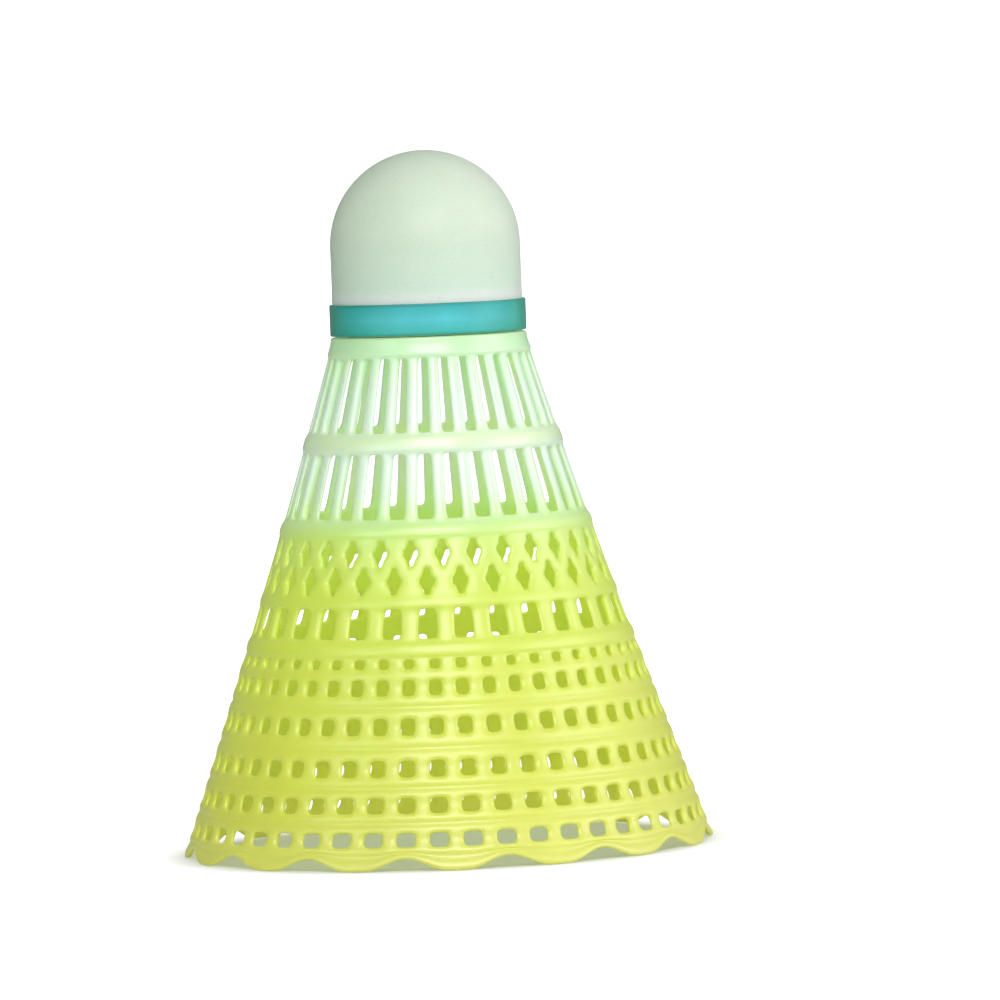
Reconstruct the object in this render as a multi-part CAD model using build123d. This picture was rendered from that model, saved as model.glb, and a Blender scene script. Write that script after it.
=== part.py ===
from build123d import *
import math
import os

# Badminton shuttlecock with a cork head and a one-piece moulded nylon skirt.
# Frame: millimetres, +Z up. The origin is the centre of the skirt's mouth, in the plane the
# lobe tips stand on; the nose of the head is at the top.
# Every (z0, z1) pair is the lower and upper height of a feature.

# --- overall ---------------------------------------------------------------
TOTAL_H = 85.0            # mouth plane to nose
MOUTH_R = 32.35           # outer radius at the lobe tips
FLARE_1 = 0.3575          # outer radius falls by this per mm of height ...
FLARE_2 = 0.00045         # ... less this times height squared (a slight bell)

# --- head ------------------------------------------------------------------
COVER_R = 11.62           # outside of the synthetic leather cover
COVER_T = 0.47
COVER_CHAMFER = 0.15
HEAD_REAR_Z = 62.65       # rear edge of the head
CORK_R = COVER_R - COVER_T
CORK_CHAMFER = 0.35
CORK_BORE_R = 6.15
CORK_BORE_END_Z = 72.20
CORK_BORE_CHAMFER = 0.30
DOME_CENTRE_Z = TOTAL_H - COVER_R

# --- speed band ------------------------------------------------------------
BAND_GAP = 0.01           # clear of the cover
BAND_T = 0.33
BAND_REAR_Z = HEAD_REAR_Z + 0.05
BAND_TOP_Z = HEAD_REAR_Z + 3.90
BAND_CHAMFER = 0.06
BAND_BUTT_GAP = 0.25      # the two ends of the tape almost meet
BAND_BUTT_ANGLE = 128.0   # degrees from +X

# --- skirt: collar and spigot ----------------------------------------------
COLLAR_TOP_Z = 62.55
COLLAR_LOW_Z = COLLAR_TOP_Z - 1.95
COLLAR_R = 11.90          # straight lip under the band
COLLAR_FLARE = (61.30, 61.95)   # widens here from the skirt's cone to the lip
COLLAR_CHAMFER = 0.10
COLLAR_STEP = (COLLAR_LOW_Z - 0.4, COLLAR_LOW_Z - 0.2)   # thin wall to full radius
COLLAR_INSIDE_DROP = 0.8  # the inside slopes over this height under the collar ...
COLLAR_INSIDE_STEP = 0.9  # ... and ends this far in from the thin wall's inside
SPIGOT_R = 6.00
SPIGOT_BORE_R = 5.10
SPIGOT_TOP_Z = 71.40
SPIGOT_CHAMFER = (0.3, 0.4)     # across, down
NOTCHES = 4
NOTCH_W = 1.20
NOTCH_H = 3.00
GROOVE_DEPTH = 0.25
GROOVES = ((65.0, 66.0), (67.4, 68.4))   # glue keys round the spigot

# --- skirt: wall -----------------------------------------------------------
RELIEF = 0.20             # rings and beads stand this far proud of the thin wall
THIN_WALL = 0.40
INSIDE_HEIGHTS = (52.0, 42.0, 32.0, 22.0, 11.0, 0.0)   # stations down the inner line
RINGS = ((25.00, 26.40), (30.70, 31.60), (39.00, 40.40), (49.00, 50.80))
# beads between the rows of openings, and the two at the foot
BEADS = (
    (0.0, 1.30), (2.05, 2.66),
    (4.58, 5.40), (5.72, 6.56),
    (8.62, 9.50), (9.82, 10.75),
    (12.90, 14.08), (14.40, 15.62),
    (17.80, 18.85), (19.15, 20.20),
    (22.25, 23.30),
)

# --- skirt: lobes and backbones --------------------------------------------
LOBES = 16                # scallops round the mouth, one backbone each
LOBE_DEPTH = 1.50         # tip to valley
LOBE_FLAT = 2.60          # flat foot at each tip
BACKBONE_W = 0.85
BACKBONE_DEPTH = 0.70     # inward of the thin wall, at BACKBONE_FULL_Z
BACKBONE_FULL_Z = 62.0
BACKBONE_MOUTH_SHARE = 0.45     # share of that depth left at the mouth
BACKBONE_OVERLAP = 0.15   # outer side lies this far inside the thin wall's outer face
BACKBONE_TOP_Z = COLLAR_LOW_Z + 0.5
BACKBONE_HEIGHTS = (0.0, 22.0, 42.0, BACKBONE_TOP_Z)

# --- skirt: openings -------------------------------------------------------
STEMS = 32                # stems from the collar down to the lowest ring
RIBS = 48                 # thin ribs from the lowest ring to the mouth
STEM_W = 1.50             # width left between neighbouring slots
NET_W = 2.25              # width left between the tall openings
RIB_W = 1.65
WEB_DEPTH = 0.5           # these widths are measured this far inside the outer radius
SLOTS = ((51.20, 60.00), (41.05, 48.60))
STEM_DIAMONDS = (35.45, 38.40)   # in line with the stems
GAP_DIAMONDS = (32.10, 35.15)    # between the stems
DIAMOND_HALF_W = 0.84
DIAMOND_END_HALF_W = 0.24        # blunt top and bottom
DIAMOND_SIDE_HALF_H = 0.20       # blunt sides
TALL_OPENINGS = (26.95, 30.40)
RIB_ROWS = (
    (23.45, 24.50), (20.36, 22.10), (15.80, 17.62),
    (10.92, 12.72), (6.72, 8.46), (2.80, 4.42),
)

# --- cutter overrun, past the material they cut ----------------------------
OPENING_INSIDE = 3.2      # cutter starts this far inside the outer radius
OPENING_LENGTH = 6.0
VALLEY_INSIDE = 6.0
VALLEY_LENGTH = 9.0
VALLEY_BELOW = 1.0
RADIAL_CUT = 3.0          # radial length of the notch and butt cutters
BUTT_EXTRA_H = 2.0

# --- cured glue between spigot and cork ------------------------------------
GLUE_CLEAR = 0.005
GLUE_FLANGE_R = 10.40     # thin flange between collar and cork


def outer_r(z):
    return MOUTH_R - FLARE_1 * z + FLARE_2 * z * z


def thin_r(z):
    """Outer radius of the thin wall."""
    return outer_r(z) - RELIEF


def inner_r(z):
    return thin_r(z) - THIN_WALL


def turned(edges):
    """Solid of revolution about Z from (radius, height) edges."""
    return revolve(Plane.XZ * make_face(edges), Axis.Z)


def radial_plane(angle):
    """Plane through the Z axis: x across, y up, normal outward at angle (degrees)."""
    c, s = math.cos(math.radians(angle)), math.sin(math.radians(angle))
    return Plane(origin=(0, 0, 0), x_dir=(-s, c, 0), z_dir=(c, s, 0))


# --- skirt -----------------------------------------------------------------
def skirt_body():
    """Turned wall, collar and hollow spigot."""
    # outer line from the mouth up, stepping out to full radius on every ring and bead
    outer = []
    for z0, z1 in sorted(BEADS + RINGS):
        if z0 > 0.0:
            outer.append((thin_r(z0), z0))
        outer += [(outer_r(z0), z0), (outer_r(z1), z1), (thin_r(z1), z1)]
    step_z0, step_z1 = COLLAR_STEP
    flare_z0, flare_z1 = COLLAR_FLARE
    outer += [
        (thin_r(step_z0), step_z0),
        (outer_r(step_z1), step_z1),
        (outer_r(flare_z0), flare_z0),
        (COLLAR_R, flare_z1),
        (COLLAR_R, COLLAR_TOP_Z - COLLAR_CHAMFER),
        (COLLAR_R - COLLAR_CHAMFER, COLLAR_TOP_Z),
        (SPIGOT_R, COLLAR_TOP_Z),
    ]
    for z0, z1 in GROOVES:
        outer += [
            (SPIGOT_R, z0),
            (SPIGOT_R - GROOVE_DEPTH, z0 + GROOVE_DEPTH),
            (SPIGOT_R - GROOVE_DEPTH, z1 - GROOVE_DEPTH),
            (SPIGOT_R, z1),
        ]
    chamfer_across, chamfer_down = SPIGOT_CHAMFER
    outer += [
        (SPIGOT_R, SPIGOT_TOP_Z - chamfer_down),
        (SPIGOT_R - chamfer_across, SPIGOT_TOP_Z),
        (SPIGOT_BORE_R, SPIGOT_TOP_Z),
        (SPIGOT_BORE_R, COLLAR_LOW_Z),
    ]
    inner = [(inner_r(COLLAR_LOW_Z) - COLLAR_INSIDE_STEP, COLLAR_LOW_Z)]
    inner += [(inner_r(z), z) for z in (COLLAR_LOW_Z - COLLAR_INSIDE_DROP, *INSIDE_HEIGHTS)]
    return turned(Polyline(*outer, *inner, close=True))


def backbones():
    """Inner backbone of each lobe, deepening towards the collar."""
    def depth(z):
        share = BACKBONE_MOUTH_SHARE + (1 - BACKBONE_MOUTH_SHARE) * z / BACKBONE_FULL_Z
        return BACKBONE_DEPTH * share

    side = [(thin_r(z) - BACKBONE_OVERLAP, z) for z in reversed(BACKBONE_HEIGHTS)]
    side += [(inner_r(z) - depth(z), z) for z in BACKBONE_HEIGHTS]
    face = Plane.XZ * make_face(Polyline(*side, close=True))
    backbone = extrude(face, BACKBONE_W / 2, both=True)
    return [Rot(0, 0, i * 360.0 / LOBES) * backbone for i in range(LOBES)]


def opening_row(count, phase, span, points):
    """Ring of radial prisms through the wall; phase is in pitches from +X."""
    face = make_face(Polyline(*points, close=True))
    start = outer_r(sum(span) / 2) - OPENING_INSIDE
    return [
        extrude(radial_plane((i + phase) * 360.0 / count).offset(start) * face, OPENING_LENGTH)
        for i in range(count)
    ]


def trapezoid_row(count, span, web):
    """Openings midway between stems or ribs, leaving webs of even width."""
    z0, z1 = span
    half0, half1 = (math.pi * (outer_r(z) - WEB_DEPTH) / count - web / 2 for z in span)
    points = [(-half0, z0), (half0, z0), (half1, z1), (-half1, z1)]
    return opening_row(count, 0.5, span, points)


def diamond_row(phase, span):
    z0, z1 = span
    low = (z0 + z1) / 2 - DIAMOND_SIDE_HALF_H
    high = (z0 + z1) / 2 + DIAMOND_SIDE_HALF_H
    side, end = DIAMOND_HALF_W, DIAMOND_END_HALF_W
    points = [
        (-end, z0), (end, z0), (side, low), (side, high),
        (end, z1), (-end, z1), (-side, high), (-side, low),
    ]
    return opening_row(STEMS, phase, span, points)


def wall_openings():
    cuts = []
    for span in SLOTS:
        cuts += trapezoid_row(STEMS, span, STEM_W)
    cuts += diamond_row(0.5, GAP_DIAMONDS)
    cuts += trapezoid_row(STEMS, TALL_OPENINGS, NET_W)
    # the backbone of each lobe passes behind every second one of these
    cuts += diamond_row(0.0, STEM_DIAMONDS)
    for span in RIB_ROWS:
        cuts += trapezoid_row(RIBS, span, RIB_W)
    return cuts


def mouth_valleys():
    """Smooth waves: an arc down from the valley's top runs into one landing flat on the foot."""
    half = MOUTH_R * math.sin(math.pi / LOBES) - LOBE_FLAT / 2
    arc_x, arc_z = half / 2, LOBE_DEPTH / 2      # one arc's width and height
    arc_r = (arc_x**2 + arc_z**2) / (2 * arc_z)
    mid_angle = math.asin(arc_x / arc_r) / 2
    # arc midpoint, measured from the arc's level end
    mid_x, mid_z = arc_r * math.sin(mid_angle), arc_r * (1 - math.cos(mid_angle))
    face = make_face([
        ThreePointArc((-half, 0), (-half + mid_x, mid_z), (-arc_x, arc_z)),
        ThreePointArc((-arc_x, arc_z), (-mid_x, LOBE_DEPTH - mid_z), (0, LOBE_DEPTH)),
        ThreePointArc((0, LOBE_DEPTH), (mid_x, LOBE_DEPTH - mid_z), (arc_x, arc_z)),
        ThreePointArc((arc_x, arc_z), (half - mid_x, mid_z), (half, 0)),
        Line((half, 0), (half, -VALLEY_BELOW)),
        Line((half, -VALLEY_BELOW), (-half, -VALLEY_BELOW)),
        Line((-half, -VALLEY_BELOW), (-half, 0)),
    ])
    start = MOUTH_R - VALLEY_INSIDE
    return [
        extrude(radial_plane((i + 0.5) * 360.0 / LOBES).offset(start) * face, VALLEY_LENGTH)
        for i in range(LOBES)
    ]


def spigot_notches():
    """Glue notches in the spigot's top end."""
    notch = Pos((SPIGOT_R + SPIGOT_BORE_R) / 2, 0, SPIGOT_TOP_Z) * Box(
        RADIAL_CUT, NOTCH_W, 2 * NOTCH_H
    )
    return [Rot(0, 0, 45 + i * 360 / NOTCHES) * notch for i in range(NOTCHES)]


def make_skirt():
    skirt = skirt_body().cut(*wall_openings())
    # fused after the openings are cut, so the backbones stay whole behind them
    skirt = skirt.fuse(*backbones())
    return skirt.cut(*mouth_valleys(), *spigot_notches())


# --- head ------------------------------------------------------------------
def dome_arc(radius):
    return CenterArc((0, DOME_CENTRE_Z), radius, 0, 90)


def make_cork_core():
    dome_top = (0, DOME_CENTRE_Z + CORK_R)
    sides = Polyline(
        dome_top,
        (0, CORK_BORE_END_Z),
        (CORK_BORE_R, CORK_BORE_END_Z),
        (CORK_BORE_R, HEAD_REAR_Z + CORK_BORE_CHAMFER),
        (CORK_BORE_R + CORK_BORE_CHAMFER, HEAD_REAR_Z),
        (CORK_R - CORK_CHAMFER, HEAD_REAR_Z),
        (CORK_R, HEAD_REAR_Z + CORK_CHAMFER),
        (CORK_R, DOME_CENTRE_Z),
    )
    return turned([*sides.edges(), dome_arc(CORK_R)])


def make_cap_cover():
    nose = Line((0, TOTAL_H), (0, DOME_CENTRE_Z + CORK_R))
    sides = Polyline(
        (CORK_R, DOME_CENTRE_Z),
        (CORK_R, HEAD_REAR_Z + CORK_CHAMFER),
        (CORK_R - CORK_CHAMFER, HEAD_REAR_Z),
        (COVER_R - COVER_CHAMFER, HEAD_REAR_Z),
        (COVER_R, HEAD_REAR_Z + COVER_CHAMFER),
        (COVER_R, DOME_CENTRE_Z),
    )
    return turned([dome_arc(COVER_R), nose, dome_arc(CORK_R), *sides.edges()])


def make_speed_band():
    """Tape round the rear of the cover, with a narrow gap where its ends meet."""
    inside = COVER_R + BAND_GAP
    outside = inside + BAND_T
    band = turned(Polyline(
        (inside, BAND_REAR_Z),
        (outside - BAND_CHAMFER, BAND_REAR_Z),
        (outside, BAND_REAR_Z + BAND_CHAMFER),
        (outside, BAND_TOP_Z - BAND_CHAMFER),
        (outside - BAND_CHAMFER, BAND_TOP_Z),
        (inside, BAND_TOP_Z),
        close=True,
    ))
    butt_h = BAND_TOP_Z - HEAD_REAR_Z + BUTT_EXTRA_H
    butt = (
        Rot(0, 0, BAND_BUTT_ANGLE)
        * Pos(COVER_R, 0, (HEAD_REAR_Z + BAND_TOP_Z) / 2)
        * Box(RADIAL_CUT, BAND_BUTT_GAP, butt_h)
    )
    return band - butt


def make_spigot_glue():
    """Sleeve that fills the cork bore round the spigot, with a flange over the collar."""
    inside = SPIGOT_R + GLUE_CLEAR
    outside = CORK_BORE_R - GLUE_CLEAR
    play = 2 * GLUE_CLEAR
    key_r = inside - (GROOVE_DEPTH - play)
    flange_top = HEAD_REAR_Z - GLUE_CLEAR
    chamfer = CORK_BORE_CHAMFER - play
    points = [
        (GLUE_FLANGE_R, COLLAR_TOP_Z + GLUE_CLEAR),
        (GLUE_FLANGE_R, flange_top),
        (CORK_BORE_R + chamfer, flange_top),
        (outside, HEAD_REAR_Z + chamfer),
        (outside, SPIGOT_TOP_Z),
        (inside, SPIGOT_TOP_Z),
    ]
    for z0, z1 in reversed(GROOVES):
        points += [
            (inside, z1 - play),
            (key_r, z1 - GROOVE_DEPTH - play),
            (key_r, z0 + GROOVE_DEPTH + play),
            (inside, z0 + play),
        ]
    points.append((inside, COLLAR_TOP_Z + GLUE_CLEAR))
    return turned(Polyline(*points, close=True))


# --- write -----------------------------------------------------------------
os.makedirs("parts", exist_ok=True)
for name, shape in {
    "skirt": make_skirt(),
    "cork_core": make_cork_core(),
    "cap_cover": make_cap_cover(),
    "speed_band": make_speed_band(),
    "spigot_glue": make_spigot_glue(),
}.items():
    export_step(shape, f"parts/{name}.step")
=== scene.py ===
"""A nylon shuttlecock standing on the mouth of its skirt.

The axis is Z. The mouth lies at z = 0, the net and stems narrow upwards to the collar, and the
domed head is on top. The camera looks along +Y. Shapes are worked out in millimetres, scene
placement is in metres.
"""
import math
from collections import namedtuple

import bpy
import numpy as np
from mathutils import Matrix, Vector


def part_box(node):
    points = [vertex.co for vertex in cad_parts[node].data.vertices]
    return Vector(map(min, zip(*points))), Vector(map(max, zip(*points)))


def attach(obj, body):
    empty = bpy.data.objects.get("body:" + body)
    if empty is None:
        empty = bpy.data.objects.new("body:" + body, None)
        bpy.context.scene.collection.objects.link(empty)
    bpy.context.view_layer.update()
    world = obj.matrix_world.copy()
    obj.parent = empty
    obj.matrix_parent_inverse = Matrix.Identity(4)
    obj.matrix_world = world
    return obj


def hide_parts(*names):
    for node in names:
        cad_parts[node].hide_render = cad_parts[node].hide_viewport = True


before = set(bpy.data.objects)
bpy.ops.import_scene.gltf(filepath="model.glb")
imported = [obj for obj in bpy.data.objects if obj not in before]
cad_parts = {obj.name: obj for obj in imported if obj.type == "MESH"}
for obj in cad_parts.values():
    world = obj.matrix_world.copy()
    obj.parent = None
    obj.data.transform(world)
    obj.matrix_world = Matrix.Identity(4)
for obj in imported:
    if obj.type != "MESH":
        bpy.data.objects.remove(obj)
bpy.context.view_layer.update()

MM = 0.001

# driving sizes of the CAD pieces, in mm
skirt_lo, skirt_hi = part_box("skirt")
cover_lo, cover_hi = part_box("cap_cover")
cork_lo, cork_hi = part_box("cork_core")
band_lo, band_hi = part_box("speed_band")
NOSE_Z = cover_hi.z / MM
COVER_R = cover_hi.x / MM
CORK_R = cork_hi.x / MM
REAR_Z = cover_lo.z / MM  # the head's lower, rear face
BAND_R = max(band_hi.x, -band_lo.x, band_hi.y, -band_lo.y) / MM
BAND_Z0, BAND_Z1 = band_lo.z / MM, band_hi.z / MM
MOUTH_R = max(skirt_hi.x, -skirt_lo.x) / MM
SPIGOT_TOP = skirt_hi.z / MM


# ---------------------------------------------------------------- mesh helpers
def mesh_object(name, verts, faces, solid=True):
    """A smooth mesh from points in metres. The faces of a closed solid are turned outwards."""
    if solid:
        points = np.array(verts)
        volume = 0.0
        for face in faces:
            for i in range(1, len(face) - 1):
                a, b, c = points[face[0]], points[face[i]], points[face[i + 1]]
                volume += float(np.dot(a, np.cross(b, c)))
        if volume < 0:
            faces = [list(reversed(face)) for face in faces]
    mesh = bpy.data.meshes.new(name)
    mesh.from_pydata([tuple(v) for v in verts], [], [tuple(face) for face in faces])
    mesh.update()
    mesh.polygons.foreach_set("use_smooth", [True] * len(mesh.polygons))
    obj = bpy.data.objects.new(name, mesh)
    bpy.context.scene.collection.objects.link(obj)
    return obj


def subdivide(obj, levels):
    """Rounds a mesh with a subdivision modifier and applies it."""
    modifier = obj.modifiers.new("round", "SUBSURF")
    modifier.levels = modifier.render_levels = levels
    modifier.quality = 3
    depsgraph = bpy.context.evaluated_depsgraph_get()
    mesh = bpy.data.meshes.new_from_object(obj.evaluated_get(depsgraph))
    old_mesh = obj.data
    obj.modifiers.clear()
    obj.data = mesh
    bpy.data.meshes.remove(old_mesh)
    mesh.name = obj.name


def revolve(name, profile, segments, move, arc=None):
    """Turns a profile of (r, z) in mm about Z; move(x, y, z, i) may shift a point of row i.

    Without an arc the profile is open and makes a full turn, and points with r == 0 become poles.
    With an arc (start, end) it is a closed outline, and the two ends are capped.
    """
    rows = len(profile)
    columns = segments + 1 if arc else segments
    start, end = arc or (0.0, 2 * math.pi)
    verts, index = [], []
    for i, (r, z) in enumerate(profile):
        if r <= 1e-9:
            index.append([len(verts)] * columns)
            verts.append(move(0.0, 0.0, z, i))
            continue
        index.append(list(range(len(verts), len(verts) + columns)))
        for j in range(columns):
            angle = start + (end - start) * j / segments
            verts.append(move(r * math.cos(angle), r * math.sin(angle), z, i))
    faces = []
    for i in range(rows if arc else rows - 1):
        row, next_row = index[i], index[(i + 1) % rows]
        for j in range(segments):
            j2 = (j + 1) % columns
            face = []
            for v in (row[j], row[j2], next_row[j2], next_row[j]):
                if v not in face:
                    face.append(v)
            if len(face) >= 3:
                faces.append(face)
    if arc:
        faces.append([row[0] for row in index])
        faces.append([row[-1] for row in reversed(index)])
    return mesh_object(name, np.array(verts) * MM, faces)


def lattice_noise(points, seed):
    """Smooth noise in -1 to 1 at points (n, 3), hashed from the lattice so that it repeats."""
    points = np.asarray(points, float)
    cell = np.floor(points).astype(np.int64)
    inside = points - cell
    inside = inside * inside * (3 - 2 * inside)
    total = np.zeros(len(points))
    for dx in (0, 1):
        for dy in (0, 1):
            for dz in (0, 1):
                code = (
                    (cell[:, 0] + dx) * 73856093
                    ^ (cell[:, 1] + dy) * 19349663
                    ^ (cell[:, 2] + dz) * 83492791
                    ^ (seed * 2654435761)
                ) & 0x7FFFFFFF
                code = (code * 1103515245 + 12345) & 0x7FFFFFFF
                code = ((code >> 7) * 69069 + 1) & 0x7FFFFFFF
                value = (code % 100003) / 50001.5 - 1.0
                weight = (
                    (inside[:, 0] if dx else 1 - inside[:, 0])
                    * (inside[:, 1] if dy else 1 - inside[:, 1])
                    * (inside[:, 2] if dz else 1 - inside[:, 2])
                )
                total += weight * value
    return total


# ---------------------------------------------------------------- skirt
# One moulding, built as a quad lattice: vertex lines run round the skirt at set heights, each line
# has an outer and an inner loop of points, and cells are left out where the net is open.
COLUMNS = 192
LOBES = 16  # scallops of the rim
STEMS = 32  # upright bars of the upper part
RIBS = 48  # upright bars of the lower net
RIB_W = 1.85
STEM_W = 1.62
SCALLOP_RISE = 1.5  # from a lobe's tip to the valley
SCALLOP_FOOT = 1.15  # half width of the flat at a lobe's tip
BACKBONE_DEPTH = 0.74  # inward thickening along each lobe's middle
CREST = {"recess": -0.03, "thickness": 0.72}  # raised edge of a hoop

COLUMN_STEP = 360.0 / COLUMNS
columns = np.arange(COLUMNS)
nominal = columns * COLUMN_STEP
lobe_column = columns % (COLUMNS // LOBES)
backbone = np.select([lobe_column == 0, np.isin(lobe_column, (1, 11))], [1.0, 0.72], 0.0)

# Angles in degrees, radii and heights in mm, and a mask of the cells left open above the line.
Line = namedtuple("Line", "angle outer_r outer_z inner_r inner_z opening")


def outer_r(z):
    return MOUTH_R - 0.3575 * z + 0.00045 * z * z


def bar_column(bars):
    """Each column's place after its bar's middle, for RIBS or STEMS bars."""
    return columns % (COLUMNS // bars)


def bar_angles(bars, z, width):
    """Column angles that put an edge on both sides of each bar."""
    half = math.degrees(width / 2 / outer_r(z))
    pitch = 360.0 / bars
    if bars == RIBS:
        offsets = [0.0, half, pitch / 2, pitch - half]
    else:
        quarter = (half + pitch / 2) / 2
        offsets = [0.0, half, quarter, pitch / 2, pitch - quarter, pitch - half]
    place = bar_column(bars)
    return nominal - place * COLUMN_STEP + np.array(offsets)[place]


def between_bars(bars):
    place = bar_column(bars)
    return (place >= 1) & (place <= COLUMNS // bars - 2)


def scallop(angle):
    """0 at a lobe's tip to 1 in the valley, with a flat foot at the tip."""
    pitch = 360.0 / LOBES
    away = np.abs((angle + pitch / 2) % pitch - pitch / 2) * math.pi / 180 * MOUTH_R
    half = pitch / 2 * math.pi / 180 * MOUTH_R
    t = np.clip((away - SCALLOP_FOOT) / (half - SCALLOP_FOOT), 0, 1)
    return 0.5 * (1 - np.cos(math.pi * t))


def wall_line(angle, z, recess, thickness, depth, opening):
    """A line whose outer face is recessed from the cone; depth scales the lobes' backbones."""
    z = z + np.zeros(COLUMNS)
    outer = outer_r(z) - recess + 0.05
    grow = 0.45 + 0.55 * z / 62.0
    inner = outer - thickness - depth * BACKBONE_DEPTH * grow * backbone
    return Line(angle, outer, z, inner, z, opening)


def ring_line(bars, z, width, recess=0.0, thickness=0.62, wave=0.0, depth=1.0, opens=False):
    """A line of a hoop; wave is how far it follows the rim's scallops."""
    angle = bar_angles(bars, z, width)
    heights = z + wave * SCALLOP_RISE * scallop(angle)
    opening = between_bars(bars) if opens else None
    return wall_line(angle, heights, recess, thickness, depth, opening)


def bar_line(bars, z, width, crown=0.10):
    """A line across free bars: their outer face is crowned and lies under the hoops."""
    side = bar_column(bars) != 0
    return wall_line(
        bar_angles(bars, z, width), z, recess=0.16 + crown * side,
        thickness=0.52 - 1.1 * crown * side, depth=1.0, opening=between_bars(bars),
    )


def diamond_lines(centre_column, tip0, tip1, zigzag0, zigzag1, half_width=0.86):
    """The four lines of a row of diamond openings. Column 0 centres them on the stems."""
    place = (columns - centre_column + 3) % 6 - 3
    centre = nominal - place * COLUMN_STEP
    away = np.abs(place)
    middle = (tip0 + tip1) / 2
    radius = outer_r(middle)
    half_pitch = math.radians(360.0 / STEMS / 2) * radius
    tip = 0.30  # half width of the blunt tips
    tip_cells = np.isin(place, (-1, 0))
    middle_cells = np.isin(place, (-2, -1, 0, 1))

    def line(offsets, z, crown, opening):
        angle = centre + np.sign(place) * np.degrees(offsets / radius)
        return wall_line(angle, z, 0.08 + crown, 0.56, 0.8, opening)

    def tip_line(z, zigzag, opening):
        offsets = np.array([0.0, tip, tip + (half_pitch - tip) * 0.5, half_pitch])[away]
        z = z + zigzag * np.clip((offsets - tip) / (half_pitch - tip), 0, 1)
        return line(offsets, z, 0.06, opening)

    def waist_line(tip_z, rise, opening):
        offsets = np.array([0.0, half_width * 0.58, half_width, half_pitch])[away]
        z = np.where(away <= 1, middle + (tip_z - middle) * 0.48, middle + rise)
        return line(offsets, z, np.where(away == 3, 0.0, 0.10), opening)

    return [
        tip_line(tip0, zigzag0, tip_cells),
        waist_line(tip0, -0.22, middle_cells),
        waist_line(tip1, 0.22, tip_cells),
        tip_line(tip1, zigzag1, None),
    ]


# Rim with its bead, following the lobes: z, rib width, recess, thickness, wave.
RIM = (
    (0.00, 2.20, 0.10, 0.50, 1.00),
    (0.42, 2.20, -0.02, 0.74, 0.95),
    (1.00, 2.10, 0.00, 0.74, 0.70),
    (1.38, 2.00, 0.22, 0.50, 0.52),
    (1.90, 1.90, 0.22, 0.50, 0.28),
    (2.22, 1.85, 0.00, 0.68, 0.12),
)

# Grooved hoops of the lower net, z of: lower crest, groove, upper crest, gap's start, gap's end.
GROOVED_HOOPS = (
    (5.14, 5.56, 5.98, 6.72, 8.46),
    (9.25, 9.66, 10.07, 10.92, 12.72),
    (13.82, 14.24, 14.66, 15.80, 17.62),
    (18.58, 19.00, 19.42, 20.36, 22.10),
)


def lower_net():
    """From the rim up to the lower half of the widest step, on 48 ribs."""
    lines = [ring_line(RIBS, *row) for row in RIM]
    lines += [
        ring_line(RIBS, 2.80, RIB_W, recess=0.02, opens=True),
        bar_line(RIBS, 3.60, RIB_W),
        ring_line(RIBS, 4.42, RIB_W),
    ]
    for crest0, groove, crest1, gap0, gap1 in GROOVED_HOOPS:
        lines += [
            ring_line(RIBS, crest0, RIB_W, **CREST),
            ring_line(RIBS, groove, RIB_W, recess=0.26, thickness=0.40),
            ring_line(RIBS, crest1, RIB_W, **CREST),
            ring_line(RIBS, gap0, RIB_W, opens=True),
            bar_line(RIBS, (gap0 + gap1) / 2, RIB_W),
            ring_line(RIBS, gap1, RIB_W),
        ]
    return lines + [
        ring_line(RIBS, 22.80, RIB_W, **CREST),
        ring_line(RIBS, 23.45, RIB_W + 0.1, recess=0.06, opens=True),
        ring_line(RIBS, 24.50, RIB_W + 0.1, recess=0.16),
        ring_line(RIBS, 24.88, RIB_W + 0.1, recess=0.18),
        ring_line(RIBS, 25.05, RIB_W + 0.1, recess=-0.05, thickness=0.82),
    ]


def upper_net():
    """The rest of that step, short openings and two rows of diamonds, on 32 stems."""
    return [
        ring_line(STEMS, 26.30, STEM_W, recess=-0.05, thickness=0.82),
        ring_line(STEMS, 26.48, STEM_W + 0.5, recess=0.18),
        ring_line(STEMS, 26.95, STEM_W + 0.75, recess=0.18, opens=True),
        bar_line(STEMS, 27.8, STEM_W + 0.65),
        bar_line(STEMS, 29.6, STEM_W + 0.75),
        ring_line(STEMS, 30.40, STEM_W + 0.95, recess=0.16),
        ring_line(STEMS, 30.80, STEM_W + 0.9, thickness=0.74),
        ring_line(STEMS, 31.50, STEM_W + 0.8, thickness=0.74),
        *diamond_lines(3, tip0=32.10, tip1=35.15, zigzag0=0.0, zigzag1=-0.95),
        *diamond_lines(0, tip0=35.45, tip1=38.42, zigzag0=0.95, zigzag1=0.0),
    ]


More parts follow.
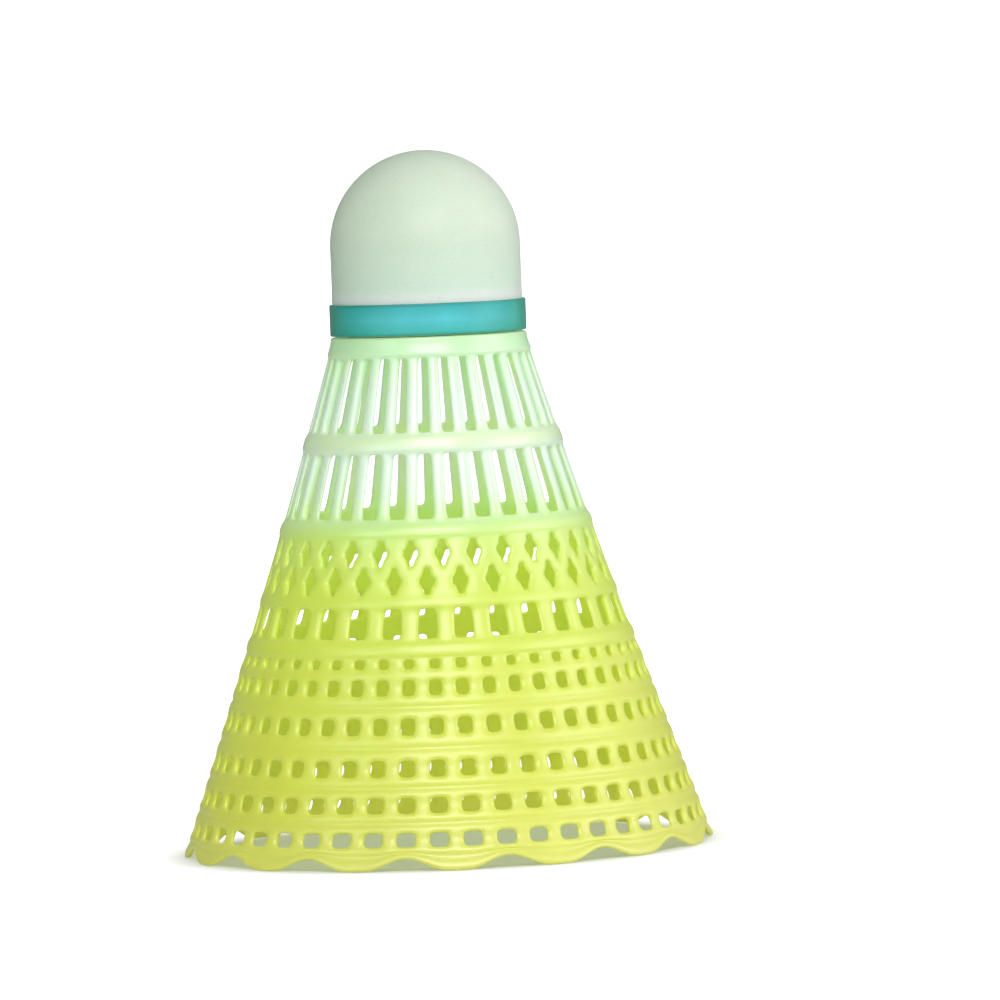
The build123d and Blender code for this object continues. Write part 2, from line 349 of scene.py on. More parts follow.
def stem_lines():
    """Two tall rows of free stems, each starting from a stepped ring."""
    return [
        ring_line(STEMS, 38.90, STEM_W + 0.2, recess=0.10),
        ring_line(STEMS, 39.05, STEM_W + 0.2, recess=-0.06, thickness=0.84),
        ring_line(STEMS, 40.20, STEM_W + 0.2, recess=-0.06, thickness=0.84),
        ring_line(STEMS, 40.36, STEM_W + 0.1, recess=0.20),
        ring_line(STEMS, 41.00, STEM_W + 0.1, recess=0.24, opens=True),
        *(bar_line(STEMS, z, STEM_W, crown=0.14) for z in (41.9, 44.8, 47.8)),
        ring_line(STEMS, 48.62, STEM_W, recess=0.20),
        ring_line(STEMS, 48.90, STEM_W, recess=0.18),
        ring_line(STEMS, 49.06, STEM_W, recess=-0.04, thickness=0.82),
        ring_line(STEMS, 50.70, STEM_W, recess=-0.04, thickness=0.82),
        ring_line(STEMS, 50.86, STEM_W, recess=0.18),
        ring_line(STEMS, 51.18, STEM_W, recess=0.20, opens=True),
        bar_line(STEMS, 52.0, STEM_W - 0.05, crown=0.14),
        bar_line(STEMS, 55.6, STEM_W - 0.10, crown=0.14),
        bar_line(STEMS, 59.2, STEM_W - 0.15, crown=0.14),
        ring_line(STEMS, 60.02, STEM_W - 0.15, recess=0.20),
        ring_line(STEMS, 60.24, STEM_W - 0.15, recess=0.20),
        ring_line(STEMS, 60.40, STEM_W - 0.15, thickness=1.10, depth=0.6),
    ]


COLLAR_TOP = REAR_Z - 0.10
COLLAR_UNDER = 60.60
SPIGOT_R, SPIGOT_GROOVE_R, SPIGOT_BORE_R = 6.00, 5.76, 5.10

# Collar, rear disc and hollow spigot: outer r, outer z, inner r, inner z.
TURNED = (
    (outer_r(61.0), 61.0, 10.05, 60.62),
    (outer_r(61.6), 61.6, 9.3, COLLAR_UNDER),
    (11.95, 62.05, 8.6, COLLAR_UNDER),
    (11.92, COLLAR_TOP - 0.16, 7.9, COLLAR_UNDER),
    (11.80, COLLAR_TOP, 7.2, COLLAR_UNDER),
    (11.20, COLLAR_TOP, 6.6, COLLAR_UNDER),
    (7.4, COLLAR_TOP, 5.60, COLLAR_UNDER),
    (6.25, COLLAR_TOP, 5.16, 60.62),
    (6.02, COLLAR_TOP + 0.18, SPIGOT_BORE_R, 60.90),
    (SPIGOT_R, 64.95, SPIGOT_BORE_R, 64.9),
    (SPIGOT_GROOVE_R, 65.28, SPIGOT_BORE_R, 65.3),
    (SPIGOT_GROOVE_R, 65.72, SPIGOT_BORE_R, 65.7),
    (SPIGOT_R, 66.05, SPIGOT_BORE_R, 66.0),
    (SPIGOT_R, 67.35, SPIGOT_BORE_R, 67.3),
    (SPIGOT_GROOVE_R, 67.68, SPIGOT_BORE_R, 67.7),
    (SPIGOT_GROOVE_R, 68.12, SPIGOT_BORE_R, 68.1),
    (SPIGOT_R, 68.42, SPIGOT_BORE_R, 68.42),
    (SPIGOT_R, 69.8, SPIGOT_BORE_R, 69.8),
    (SPIGOT_R, SPIGOT_TOP - 0.35, SPIGOT_BORE_R, SPIGOT_TOP - 0.35),
    (5.80, SPIGOT_TOP, 5.14, SPIGOT_TOP),
)
NOTCH_ROWS = 3  # rows of cells below the spigot's top that its four notches cut through


def turned_lines():
    notches = np.isin((columns + 24) % 48, range(21, 27))
    first_notched = len(TURNED) - 1 - NOTCH_ROWS
    lines = []
    for k, row in enumerate(TURNED):
        opening = notches if first_notched <= k < len(TURNED) - 1 else None
        lines.append(Line(nominal, *(np.full(COLUMNS, value) for value in row), opening))
    return lines


def waver(angle, z):
    """The moulding is never quite round: a slow radial waver that dies out towards the head."""
    loose = np.clip(1 - z / 60.0, 0, 1) ** 1.3
    return loose * (
        0.09 * np.sin(2 * angle + 0.7)
        + 0.06 * np.sin(5 * angle + 1.9 + z / 17.0)
        + 0.03 * np.sin(11 * angle + z / 6.0)
    ) - 0.05 * loose


def lattice_faces(solid):
    """Walls on both sides of the solid cells, and edges where they meet open ones."""
    cell_rows = len(solid)
    inner_start = (cell_rows + 1) * COLUMNS

    def outer(k, j):
        return k * COLUMNS + j % COLUMNS

    def inner(k, j):
        return inner_start + outer(k, j)

    faces = []
    for k in range(cell_rows):
        for j in range(COLUMNS):
            if not solid[k, j]:
                continue
            out00, out01 = outer(k, j), outer(k, j + 1)
            out10, out11 = outer(k + 1, j), outer(k + 1, j + 1)
            in00, in01 = inner(k, j), inner(k, j + 1)
            in10, in11 = inner(k + 1, j), inner(k + 1, j + 1)
            faces.append((out00, out01, out11, out10))
            faces.append((in00, in10, in11, in01))
            if k == 0 or not solid[k - 1, j]:
                faces.append((out00, in00, in01, out01))
            if k == cell_rows - 1 or not solid[k + 1, j]:
                faces.append((out10, out11, in11, in10))
            if not solid[k, (j - 1) % COLUMNS]:
                faces.append((out00, out10, in10, in00))
            if not solid[k, (j + 1) % COLUMNS]:
                faces.append((out01, in01, in11, out11))
    return np.array(faces)


def build_skirt():
    lines = lower_net() + upper_net() + stem_lines() + turned_lines()
    outer, inner = [], []
    for line in lines:
        angle = np.radians(line.angle)
        shift = waver(angle, line.outer_z)
        for loop, radius, z in (
            (outer, line.outer_r + shift, line.outer_z),
            (inner, line.inner_r + shift, line.inner_z),
        ):
            loop.append(np.stack([radius * np.cos(angle), radius * np.sin(angle), z], 1))
    verts = np.concatenate(outer + inner)

    solid = np.ones((len(lines) - 1, COLUMNS), bool)
    for k, line in enumerate(lines[:-1]):
        if line.opening is not None:
            solid[k] = ~line.opening
    faces = lattice_faces(solid)

    # drop the points that lie inside openings
    used = np.unique(faces.ravel())
    new_index = np.full(len(verts), -1)
    new_index[used] = np.arange(len(used))
    obj = mesh_object("nylon_skirt", verts[used] * MM, new_index[faces].tolist(), solid=False)
    subdivide(obj, 1)
    return obj


# ---------------------------------------------------------------- head
DOME_Z = NOSE_Z - COVER_R  # centre of the dome's sphere


def dome_profile(radius, low_z, arc_rows, side_rows):
    """Profile points from the nose down the side to low_z."""
    points = []
    for i in range(arc_rows + 1):
        angle = math.pi / 2 * (1 - i / arc_rows)
        r = 0.0 if i == 0 else radius * math.cos(angle)
        points.append((r, DOME_Z + radius * math.sin(angle)))
    for i in range(1, side_rows + 1):
        points.append((radius, DOME_Z + (low_z - DOME_Z) * i / side_rows))
    return points


def build_cover():
    """Thin synthetic leather drawn over the cork: a soft roll above the tape, slack around it."""
    outer = dome_profile(COVER_R - 0.03, REAR_Z + 0.12, 40, 34)
    outer[-1] = (COVER_R - 0.05, REAR_Z + 0.10)
    outer.append((COVER_R - 0.16, REAR_Z + 0.01))
    inner = dome_profile(CORK_R + 0.02, REAR_Z + 0.4, 30, 16)
    inner[-1] = (CORK_R + 0.02, REAR_Z + 0.30)
    inner.append((CORK_R - 0.20, REAR_Z + 0.01))

    def move(x, y, z, i):
        if i >= len(outer):
            return (x, y, z)
        r = math.hypot(x, y)
        if r < 1e-9:
            return (x, y, z - 0.05)
        angle = math.atan2(y, x)
        above = z - BAND_Z1
        roll = 0.045 * math.exp(-(((above - 0.55) / 0.42) ** 2))
        under_tape = -0.06 / (1 + math.exp((above + 0.15) / 0.06))
        slack = 0.030 * math.exp(-max(above, 0) / 3.0) * (
            math.sin(9 * angle + 0.6)
            + 0.7 * math.sin(14 * angle + 2.0)
            + 0.5 * math.sin(23 * angle + 0.3)
        )
        if above < 0:
            slack *= 0.3
        soft = 0.035 * math.sin(2 * angle + 0.8) * math.sin(z / 6.0)
        shift = roll + under_tape + slack * 0.6 + soft - 0.02
        # move along the surface normal
        normal_z = max(z - DOME_Z, 0.0) / COVER_R
        normal_r = math.sqrt(max(1 - normal_z * normal_z, 0))
        scale = (r + shift * normal_r) / r
        return (x * scale, y * scale, z + shift * normal_z - 0.02 * normal_z)

    return revolve("cap_cover_skin", outer + inner[::-1], 144, move)


def build_band():
    """Tape round the head: thin, long edges rounded off, its ends butted with a hairline gap."""
    inner_r = COVER_R + 0.012
    thickness = BAND_R - inner_r
    z0, z1 = BAND_Z0, BAND_Z1
    corner_angles = (0.35, 0.8, 1.2, 1.5)
    flat_steps = 12
    gap = math.radians(128.0)
    half_gap = 0.125 / BAND_R

    def corner(angle):
        """Radius, and distance from the edge, of a point on a rounded edge."""
        radius = inner_r + thickness * (1 - 0.34 * (1 - math.sin(angle)))
        return radius, 0.16 * (1 - math.cos(angle))

    corners = [corner(angle) for angle in corner_angles]
    profile = [(inner_r, z0), (inner_r + thickness * 0.55, z0)]
    profile += [(r, z0 + inset) for r, inset in corners]
    profile += [
        (inner_r + thickness, z0 + 0.22 + (z1 - z0 - 0.44) * i / flat_steps)
        for i in range(flat_steps + 1)
    ]
    profile += [(r, z1 - inset) for r, inset in reversed(corners)]
    profile += [(inner_r + thickness * 0.55, z1), (inner_r, z1)]

    def move(x, y, z, i):
        angle = math.atan2(y, x)
        r = math.hypot(x, y)
        wave = 0.0
        if r > inner_r + 0.05:
            wave = -0.012 + 0.010 * math.sin(6 * angle + 0.4) + 0.008 * math.sin(17 * angle + z)
            # the face dips towards the gap
            from_gap = abs((angle - gap + math.pi) % (2 * math.pi) - math.pi) * BAND_R
            wave -= 0.05 * math.exp(-((from_gap / 0.35) ** 2))
        # the long edges waver, always inwards from the tape's full width
        near_edge = min(z - z0, z1 - z) < 0.5
        lift = 0.03 * math.sin(3 * angle + 1.1) if near_edge else 0.0
        if z > (z0 + z1) / 2:
            lift = min(lift, 0.0) - 0.01
        else:
            lift = max(lift, 0.0) + 0.01
        scale = (r + wave) / r
        return (x * scale, y * scale, z + lift)

    arc = (gap + half_gap, gap + 2 * math.pi - half_gap)
    return revolve("speed_band_tape", profile, 180, move, arc)


def cork_profile():
    """Dome, rear face and blind bore, from the nose to the middle of the bore's end."""
    bore_r, bore_end = 6.15, 72.20
    rim_r, mouth_r = CORK_R - 0.33, bore_r + 0.3
    bore_start = REAR_Z + 0.3
    face_steps, bore_steps, end_steps = 9, 12, 9
    points = dome_profile(CORK_R, REAR_Z + 0.35, 34, 22)
    points.append((rim_r, REAR_Z))
    for i in range(1, face_steps + 1):
        points.append((rim_r + (mouth_r - rim_r) * i / face_steps, REAR_Z))
    points.append((bore_r, bore_start))
    for i in range(1, bore_steps + 1):
        points.append((bore_r, bore_start + (bore_end - REAR_Z - 0.3) * i / bore_steps))
    for i in range(1, end_steps + 1):
        points.append((bore_r * (1 - i / end_steps), bore_end))
    return points


def build_cork():
    """Turned cork. Its pores are pits in the mesh, sunk along the profile's normals."""
    profile = cork_profile()
    profile_normals = []
    for i in range(len(profile)):
        before, after = profile[max(i - 1, 0)], profile[min(i + 1, len(profile) - 1)]
        dr, dz = after[0] - before[0], after[1] - before[1]
        length = math.hypot(dr, dz)
        profile_normals.append((-dz / length, dr / length))
    points, normals = [], []

    def collect(x, y, z, i):
        r = math.hypot(x, y)
        normal_r, normal_z = profile_normals[i]
        cosine, sine = (x / r, y / r) if r > 1e-9 else (0.0, 0.0)
        points.append((x, y, z))
        normals.append((normal_r * cosine, normal_r * sine, normal_z))
        return (x, y, z)

    obj = revolve("cork_dome", profile, 128, collect)
    points, normals = np.array(points), np.array(normals)
    pores = lattice_noise(points / np.array([0.55, 0.55, 1.3]), seed=11)
    grain = lattice_noise(points / 1.9, seed=5) * 0.5 + 0.5
    pit = np.clip((pores - 0.38) / 0.45, 0, 1) ** 1.2 * (0.35 + 0.65 * grain)
    moved = points - normals * (0.16 * pit)[:, None] - normals * 0.004
    obj.data.vertices.foreach_set("co", (moved * MM).ravel())
    obj.data.update()
    return obj


skirt = build_skirt()
cover = build_cover()
band = build_band()
cork = build_cork()


# ---------------------------------------------------------------- material helpers
def srgb(r, g, b):
    """A linear colour from 8-bit sRGB values."""
    def linear(v):
        v /= 255.0
        return v / 12.92 if v <= 0.04045 else ((v + 0.055) / 1.055) ** 2.4

    return (linear(r), linear(g), linear(b), 1.0)


class Tree:
    """A node tree with short ways to add and feed nodes."""

    def __init__(self, tree):
        self.tree = tree

    def add(self, kind, **values):
        """A new node; values go to the inputs of that name, or else to its properties."""
        node = self.tree.nodes.new(kind)
        for key, value in values.items():
            if key in node.inputs.keys():
                node.inputs[key].default_value = value
            else:
                setattr(node, key, value)
        return node

    def feed(self, socket, value):
        """Sets an input to a constant or links an output to it."""
        if isinstance(value, (int, float, tuple)):
            socket.default_value = value
        else:
            self.tree.links.new(value, socket)

    def axis(self, vector, name):
        node = self.add("ShaderNodeSeparateXYZ")
        self.feed(node.inputs[0], vector)
        return node.outputs[name]

    def calc(self, operation, first, second):
        node = self.add("ShaderNodeMath", operation=operation)
        self.feed(node.inputs[0], first)
        self.feed(node.inputs[1], second)
        return node.outputs[0]

    def map_range(self, value, source, target):
        node = self.add("ShaderNodeMapRange")
        names = ("From Min", "From Max", "To Min", "To Max")
        for name, limit in zip(names, (*source, *target)):
            node.inputs[name].default_value = limit
        self.feed(node.inputs["Value"], value)
        return node.outputs["Result"]


class Material(Tree):
    """A Principled material with textures in object space."""

    def __init__(self, name):
        self.material = bpy.data.materials.new(name)
        self.material.use_nodes = True
        super().__init__(self.material.node_tree)
        self.bsdf = self.tree.nodes["Principled BSDF"]
        self.coords = self.add("ShaderNodeTexCoord").outputs["Object"]

    def scaled(self, x=1, y=1, z=1):
        node = self.add("ShaderNodeMapping")
        node.inputs["Scale"].default_value = (x, y, z)
        self.feed(node.inputs["Vector"], self.coords)
        return node.outputs["Vector"]

    def noise(self, vector, scale, detail=4.0, roughness=0.55):
        node = self.add("ShaderNodeTexNoise", Scale=scale, Detail=detail, Roughness=roughness)
        self.feed(node.inputs["Vector"], vector)
        return node.outputs["Fac"]

    def voronoi(self, vector, **values):
        node = self.add("ShaderNodeTexVoronoi", **values)
        self.feed(node.inputs["Vector"], vector)
        return node.outputs["Distance"]

    def ramp(self, factor, stops):
        node = self.add("ShaderNodeValToRGB")
        elements = node.color_ramp.elements
        while len(elements) < len(stops):
            elements.new(0.5)
        for element, (position, colour) in zip(elements, stops):
            element.position = position
            element.color = colour
        self.feed(node.inputs["Fac"], factor)
        return node.outputs["Color"]

    def mix(self, factor, first, second, blend="MIX"):
        node = self.add("ShaderNodeMix", data_type="RGBA", blend_type=blend)
        for i, value in ((0, factor), (6, first), (7, second)):
            self.feed(node.inputs[i], value)
        return node.outputs[2]

    def dimmed(self, colour, brightness):
        """The colour multiplied by a grey of this brightness."""
        grey = self.add("ShaderNodeCombineColor")
        for i in range(3):
            self.feed(grey.inputs[i], brightness)
        return self.mix(1.0, colour, grey.outputs[0], "MULTIPLY")

    def bump(self, height, strength, distance, normal=None):
        node = self.add("ShaderNodeBump", Strength=strength, Distance=distance)
        self.feed(node.inputs["Height"], height)
        if normal is not None:
            self.feed(node.inputs["Normal"], normal)
        return node.outputs["Normal"]

    def set(self, name, value):
        self.feed(self.bsdf.inputs[name], value)

    def coat(self, weight, roughness):
        self.set("Coat Weight", weight)
        self.set("Coat Roughness", roughness)

    def subsurface(self, weight, radius, scale):
        self.set("Subsurface Weight", weight)
        self.set("Subsurface Radius", radius)
        self.set("Subsurface Scale", scale)


# ---------------------------------------------------------------- materials
MID_NOISE = (0.3, 0.7)  # the span that most noise values fall in
NYLON_TOP = 62.5

# Nylon colour up the skirt: height in mm, linear colour. Above about 40 mm the paler, whiter
# colours are partly the nylon's tint and partly painted sheen, standing in for the white gloss on
# the stems.
NYLON_COLOURS_AND_PAINTED_SHEEN = (
    (0.0, (0.76, 0.78, 0.150, 1)),
    (8.0, (0.73, 0.79, 0.095, 1)),
    (22.0, (0.71, 0.82, 0.100, 1)),
    (33.0, (0.68, 0.85, 0.110, 1)),
    (38.6, (0.65, 0.91, 0.200, 1)),
    (40.6, (0.64, 0.95, 0.400, 1)),
    (44.0, (0.69, 0.95, 0.660, 1)),
    (48.4, (0.73, 0.96, 0.735, 1)),
    (50.3, (0.75, 0.98, 0.580, 1)),
    (52.2, (0.73, 0.96, 0.735, 1)),
    (56.0, (0.70, 0.96, 0.710, 1)),
    (62.0, (0.60, 0.95, 0.520, 1)),
)


def nylon():
    mat = Material("fluorescent_nylon")
    z = mat.axis(mat.coords, "Z")
    height = mat.map_range(z, source=(0.0, NYLON_TOP * MM), target=(0.0, 1.0))
    # the colours' borders wobble a little
    wobble = mat.noise(mat.scaled(z=0.4), scale=160.0, detail=2.0)
    wobble = mat.calc("MULTIPLY", mat.calc("SUBTRACT", wobble, 0.5), 0.02)
    height = mat.calc("ADD", height, wobble)
    colour = mat.ramp(height, [(level / NYLON_TOP, rgba) for level, rgba in NYLON_COLOURS_AND_PAINTED_SHEEN])
    blotch = mat.noise(mat.scaled(), scale=90.0, detail=5.0, roughness=0.6)
    colour = mat.dimmed(colour, mat.map_range(blotch, source=MID_NOISE, target=(0.96, 1.03)))
    mat.set("Base Color", colour)
    # painted glow that evens out the shading: the nylon gives off its own colour whatever light
    # falls on it, standing in for its fluorescence
    mat.set("Emission Color", colour)
    mat.set("Emission Strength", 0.17)

    # the stems come off a polished part of the mould, the net off a duller one
    dull = mat.map_range(z, source=(0.034, 0.044), target=(0.05, 0.0))
    roughness = mat.map_range(blotch, source=MID_NOISE, target=(0.32, 0.40))
    mat.set("Roughness", mat.calc("ADD", dull, roughness))
    mat.coat(
        weight=mat.map_range(z, source=(0.036, 0.044), target=(0.45, 0.65)), roughness=0.27
    )
    mat.set("Specular IOR Level", 0.95)
    mat.set("IOR", 1.53)
    mat.subsurface(weight=0.70, radius=(1.0, 1.0, 0.35), scale=0.0018)

    fine = mat.noise(mat.scaled(), scale=2600.0, detail=3.0, roughness=0.6)
    flow = mat.noise(mat.scaled(z=0.12), scale=900.0, detail=3.0, roughness=0.5)
    normal = mat.bump(fine, strength=0.12, distance=0.00004)
    mat.set("Normal", mat.bump(flow, strength=0.16, distance=0.00006, normal=normal))
    return mat.material


def leather():
    mat = Material("white_synthetic_leather")
    base, shade = (0.83, 0.96, 0.785, 1.0), (0.78, 0.93, 0.735, 1.0)
    low_tint, pale_roll_colour = (0.76, 0.99, 0.82, 1.0), (0.92, 0.97, 0.93, 1.0)
    blotch = mat.noise(mat.scaled(), scale=120.0, detail=5.0, roughness=0.6)
    shaded = mat.map_range(blotch, source=(0.35, 0.65), target=(0.0, 1.0))
    colour = mat.mix(shaded, base, shade)
    z = mat.axis(mat.coords, "Z")
    low = mat.map_range(z, source=(0.0755, 0.0670), target=(0.0, 0.85))
    colour = mat.mix(low, colour, low_tint)
    # paler in a strip where it rolls over above the tape
    roll_span = ((BAND_Z1 + 1.9) * MM, (BAND_Z1 + 0.5) * MM)
    rolled = mat.map_range(z, source=roll_span, target=(0.0, 0.85))
    colour = mat.mix(rolled, colour, pale_roll_colour)
    # grained in small cells, with painted shade darkening the creases between them
    edge = mat.voronoi(mat.coords, feature="DISTANCE_TO_EDGE", Scale=2600.0)
    cells = mat.map_range(edge, source=(0.0, 0.12), target=(0.0, 1.0))
    crease_shade = mat.map_range(edge, source=(0.0, 0.06), target=(0.88, 1.0))
    crease_shade_share = 0.6
    mat.set("Base Color", mat.mix(crease_shade_share, colour, mat.dimmed(colour, crease_shade)))

    pores = mat.noise(mat.scaled(), scale=5200.0, detail=2.0, roughness=0.5)
    normal = mat.bump(cells, strength=0.22, distance=0.00005)
    mat.set("Normal", mat.bump(pores, strength=0.10, distance=0.00003, normal=normal))
    mat.set("Roughness", mat.map_range(blotch, source=MID_NOISE, target=(0.42, 0.54)))
    mat.subsurface(weight=0.12, radius=(1.0, 0.9, 0.8), scale=0.0008)
    mat.coat(weight=0.07, roughness=0.30)
    mat.set("IOR", 1.48)
    return mat.material


def tape():
    mat = Material("teal_tape")
    z = mat.axis(mat.coords, "Z")
    across = mat.map_range(z, source=(BAND_Z0 * MM, BAND_Z1 * MM), target=(0.0, 1.0))
    # painted shade and highlight across the tape: darker along its top and bottom edges, lightest
    # along the middle
    colour = mat.ramp(
        across,
        [
            (0.0, srgb(44, 168, 150)),
            (0.12, srgb(72, 202, 196)),
            (0.50, srgb(94, 218, 226)),
            (0.88, srgb(70, 200, 202)),
            (1.0, srgb(42, 150, 152)),
        ],
    )
    # painted shade: the film is coloured deeper and greener where it is seen edge-on, towards its
    # left and right ends
    facing = mat.add("ShaderNodeLayerWeight", Blend=0.35).outputs["Facing"]
    edge_on_shade = mat.map_range(facing, source=(0.02, 0.60), target=(0.0, 0.90))
    colour = mat.mix(edge_on_shade, colour, srgb(22, 168, 134))
    blotch = mat.noise(mat.scaled(z=2.0), scale=240.0, detail=4.0, roughness=0.6)
    tint = mat.map_range(blotch, source=MID_NOISE, target=(0.93, 1.05))
    mat.set("Base Color", mat.dimmed(colour, tint))
    fine = mat.noise(mat.scaled(z=9.0), scale=1500.0, detail=3.0, roughness=0.6)
    mat.set("Normal", mat.bump(fine, strength=0.12, distance=0.00003))
    mat.set("Roughness", mat.map_range(blotch, source=MID_NOISE, target=(0.30, 0.44)))
    mat.coat(weight=0.25, roughness=0.2)
    mat.set("IOR", 1.5)
    return mat.material


def cork_material():
    mat = Material("turned_cork")
    vector = mat.scaled(z=0.8)
    grain = mat.noise(vector, scale=500.0, detail=6.0, roughness=0.65)
    colour = mat.ramp(
        grain,
        [
            (0.28, (0.20, 0.105, 0.045, 1)),
            (0.42, (0.44, 0.265, 0.130, 1)),
            (0.58, (0.58, 0.380, 0.205, 1)),
            (0.75, (0.68, 0.480, 0.290, 1)),
        ],
    )
    speck_colour, speck_share = (0.11, 0.055, 0.024, 1.0), 0.7
    specks = mat.voronoi(vector, Scale=1500.0)
    clear = mat.map_range(specks, source=(0.10, 0.30), target=(0.0, 1.0))
    dark = mat.calc("MULTIPLY", mat.calc("SUBTRACT", 1.0, clear), speck_share)
    mat.set("Base Color", mat.mix(dark, colour, speck_colour))
    mat.set("Roughness", mat.map_range(grain, source=MID_NOISE, target=(0.95, 0.78)))
    crumbs = mat.noise(vector, scale=1900.0, detail=5.0, roughness=0.7)
    mat.set("Normal", mat.bump(crumbs, strength=0.5, distance=0.00012))
    mat.set("Specular IOR Level", 0.25)
    return mat.material


def glue_material():
    mat = Material("cured_adhesive")
    blotch = mat.noise(mat.scaled(), scale=700.0, detail=4.0, roughness=0.6)
    stops = [(0.3, (0.60, 0.46, 0.24, 1)), (0.7, (0.80, 0.68, 0.42, 1))]
    mat.set("Base Color", mat.ramp(blotch, stops))
    mat.set("Roughness", mat.map_range(blotch, source=MID_NOISE, target=(0.18, 0.35)))
    mat.set("Normal", mat.bump(blotch, strength=0.3, distance=0.0001))
    mat.subsurface(weight=0.3, radius=(1.0, 0.7, 0.3), scale=0.001)
    return mat.material


def dress(obj, material):
    obj.data.materials.clear()
    obj.data.materials.append(material)


def install(obj, material, node):
    """Dresses a piece and puts it in place of its CAD node."""
    dress(obj, material)
    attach(obj, "root")
    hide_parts(node)


install(skirt, nylon(), "skirt")
install(cover, leather(), "cap_cover")
install(band, tape(), "speed_band")
install(cork, cork_material(), "cork_core")
dress(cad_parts["spigot_glue"], glue_material())


# ---------------------------------------------------------------- stage, in metres
def paper():
    mat = Material("pale_paper")
    mat.set("Base Color", (0.66, 0.66, 0.66, 1.0))
    mat.set("Roughness", 0.9)
    mat.set("Specular IOR Level", 0.1)
    fibres = mat.noise(mat.scaled(), scale=900.0, detail=4.0)
    mat.set("Normal", mat.bump(fibres, strength=0.05, distance=0.0002))

    # the paper is lit a little brighter for the lens than for the object, so it stays white
    flat = mat.add("ShaderNodeVectorMath", operation="MULTIPLY")
    mat.feed(flat.inputs[0], mat.coords)
    flat.inputs[1].default_value = (1.0, 1.0, 0.0)
    length = mat.add("ShaderNodeVectorMath", operation="LENGTH")
    mat.feed(length.inputs[0], flat.outputs[0])
    away = length.outputs["Value"]
    # the glow is low inside the skirt's rim, a painted shadow on the paper under the skirt
    glow_with_skirt_shadow = mat.map_range(away, source=(0.030, 0.036), target=(0.16, 0.76))
    far = mat.map_range(away, source=(0.10, 0.60), target=(0.0, 0.40))
    seen = mat.add("ShaderNodeLightPath").outputs["Is Camera Ray"]
    mat.set("Emission Color", (1.0, 1.0, 1.0, 1.0))
    mat.set("Emission Strength", mat.calc("MULTIPLY", seen, mat.calc("ADD", glow_with_skirt_shadow, far)))

    # seen from underneath the paper is clear, so the mouth can be looked into
    either = mat.add("ShaderNodeMixShader")
    mat.feed(either.inputs[0], mat.add("ShaderNodeNewGeometry").outputs["Backfacing"])
    mat.feed(either.inputs[1], mat.bsdf.outputs[0])
    mat.feed(either.inputs[2], mat.add("ShaderNodeBsdfTransparent").outputs[0])
    mat.feed(mat.tree.nodes["Material Output"].inputs["Surface"], either.outputs[0])
    return mat.material


def build_stage():
    """Floor that sweeps up into a backdrop, one smooth sheet just under the rim."""
    half_width, drop = 3.0, 0.00002
    floor_end, bend, bend_steps = 1.75, 0.8, 16
    section = [(-3.0, 0.0)]
    section += [(-1.5 + 0.25 * i, 0.0) for i in range(14)]
    for i in range(1, bend_steps + 1):
        angle = math.pi / 2 * i / bend_steps
        section.append((floor_end + bend * math.sin(angle), bend * (1 - math.cos(angle))))
    section += [(floor_end + bend, bend + 0.4 * i) for i in range(1, 7)]
    verts = [(x, y, z - drop) for y, z in section for x in (-half_width, half_width)]
    faces = [(2 * i, 2 * i + 1, 2 * i + 3, 2 * i + 2) for i in range(len(section) - 1)]
    obj = mesh_object("backdrop", verts, faces, solid=False)
    obj.data.materials.append(paper())


build_stage()

# ---------------------------------------------------------------- lights and world
CAMERA_AZIMUTH = -1.8  # degrees round Z from -Y, positive towards +X
LIGHT_AIM = Vector((0, 0, 0.045))


def area_light(name, azimuth, elevation, distance, size, power, colour):
    """A rectangle aimed at the object; azimuth is to the right of the camera, in degrees."""
    data = bpy.data.lights.new(name, "AREA")
    data.shape = "RECTANGLE"
    data.size, data.size_y = size
    data.energy = power
    data.color = colour
    turn, rise = math.radians(azimuth + CAMERA_AZIMUTH), math.radians(elevation)
    place = (
        distance * math.sin(turn) * math.cos(rise),
        -distance * math.cos(turn) * math.cos(rise),
        0.045 + distance * math.sin(rise),
    )
    obj = bpy.data.objects.new(name, data)
    obj.location = place
    obj.rotation_euler = (LIGHT_AIM - Vector(place)).to_track_quat("-Z", "Y").to_euler()
    bpy.context.scene.collection.objects.link(obj)
    return obj


area_light("front", azimuth=0, elevation=33, distance=1.3,
           size=(0.95, 0.50), power=7.3, colour=(1.0, 1.0, 1.0))
area_light("side", azimuth=74, elevation=17, distance=1.2,
           size=(1.00, 0.60), power=4.1, colour=(1.0, 0.99, 0.98))
area_light("fill", azimuth=-50, elevation=20, distance=1.2,
           size=(0.55, 0.50), power=2.0, colour=(0.86, 1.0, 0.88))
area_light("strip", azimuth=122, elevation=6, distance=0.75,
           size=(0.05, 0.50), power=0.13, colour=(0.97, 1.0, 1.0))
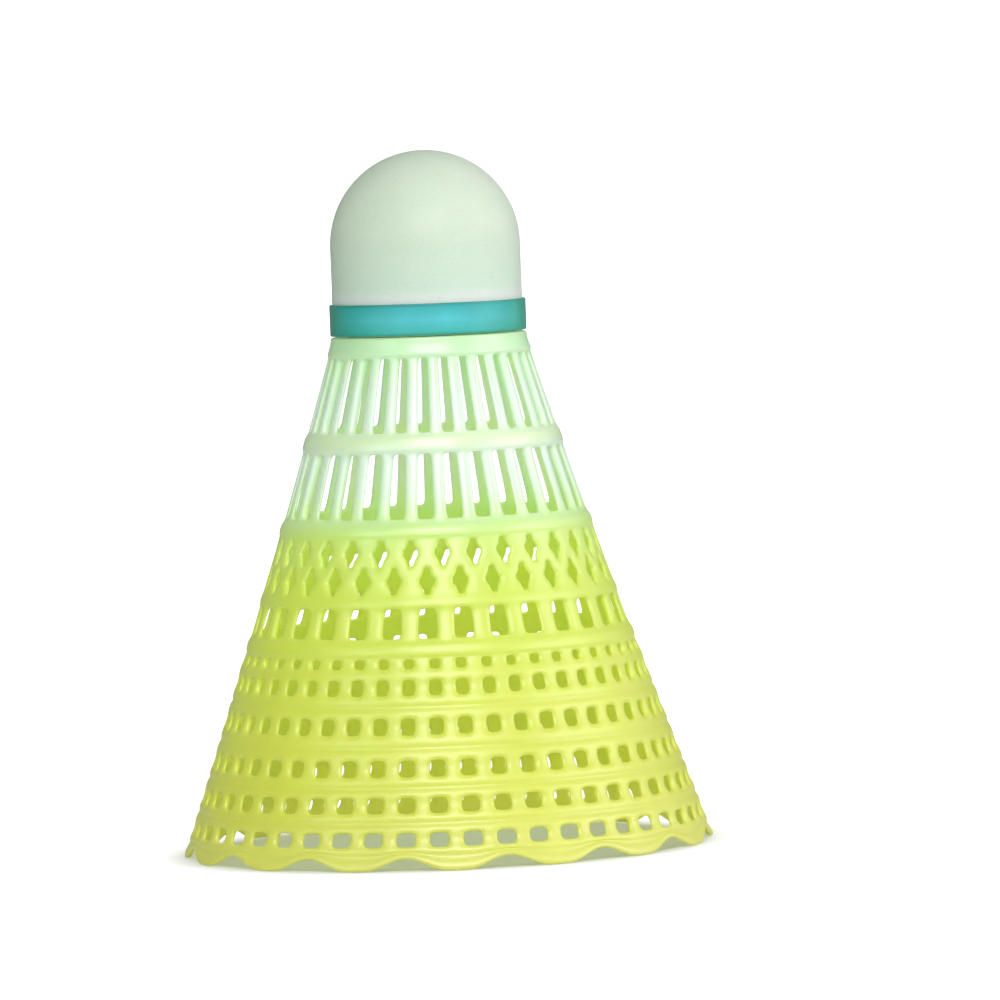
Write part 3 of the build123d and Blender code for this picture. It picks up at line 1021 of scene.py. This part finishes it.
# shines through the nylon from behind without a glint on the rings' edges
glow = area_light("back", azimuth=168, elevation=16, distance=1.1,
                  size=(0.40, 0.40), power=2.6, colour=(1.0, 1.0, 0.98))
glow.visible_glossy = False


def build_world():
    world = bpy.data.worlds.new("studio")
    bpy.context.scene.world = world
    world.use_nodes = True
    room = Tree(world.node_tree)
    background = room.tree.nodes["Background"]
    background.inputs["Color"].default_value = (1.0, 1.0, 1.0, 1.0)
    # the room is a little brighter on the right than on the left
    across = room.axis(room.add("ShaderNodeTexCoord").outputs["Generated"], "X")
    side = room.map_range(across, source=(-1.0, 0.6), target=(0.05, 0.42))
    # the lens itself sees plain white beyond the paper
    seen = room.add("ShaderNodeLightPath").outputs["Is Camera Ray"]
    room.feed(background.inputs["Strength"], room.calc("MAXIMUM", seen, side))


build_world()

scene = bpy.context.scene
scene.view_settings.view_transform = "Standard"
scene.view_settings.look = "None"
scene.view_settings.exposure = 0.0
scene.view_settings.gamma = 1.0


# ---------------------------------------------------------------- camera
def build_camera():
    """A long lens about a metre away, a little above, rolled so that the object leans."""
    distance, height = 0.980, 0.0897
    target_height, target_right = 0.0420, 0.0079
    roll = math.radians(-2.26)
    data = bpy.data.cameras.new("camera")
    data.lens = 290.0
    data.sensor_width = 36.0
    data.clip_start = 0.05
    data.clip_end = 20.0
    obj = bpy.data.objects.new("camera", data)
    bpy.context.scene.collection.objects.link(obj)
    azimuth = math.radians(CAMERA_AZIMUTH)
    place = Vector((distance * math.sin(azimuth), -distance * math.cos(azimuth), height))
    right = Vector((math.cos(azimuth), math.sin(azimuth), 0.0))
    target = Vector((0, 0, target_height)) + right * target_right
    forward = (target - place).normalized()
    up = right.cross(forward).normalized()
    side = forward.cross(up).normalized()
    rolled_side = side * math.cos(roll) + up * math.sin(roll)
    rolled_up = up * math.cos(roll) - side * math.sin(roll)
    rotation = Matrix((rolled_side, rolled_up, -forward)).transposed()
    obj.matrix_world = Matrix.Translation(place) @ rotation.to_4x4()
    return obj


scene.camera = build_camera()
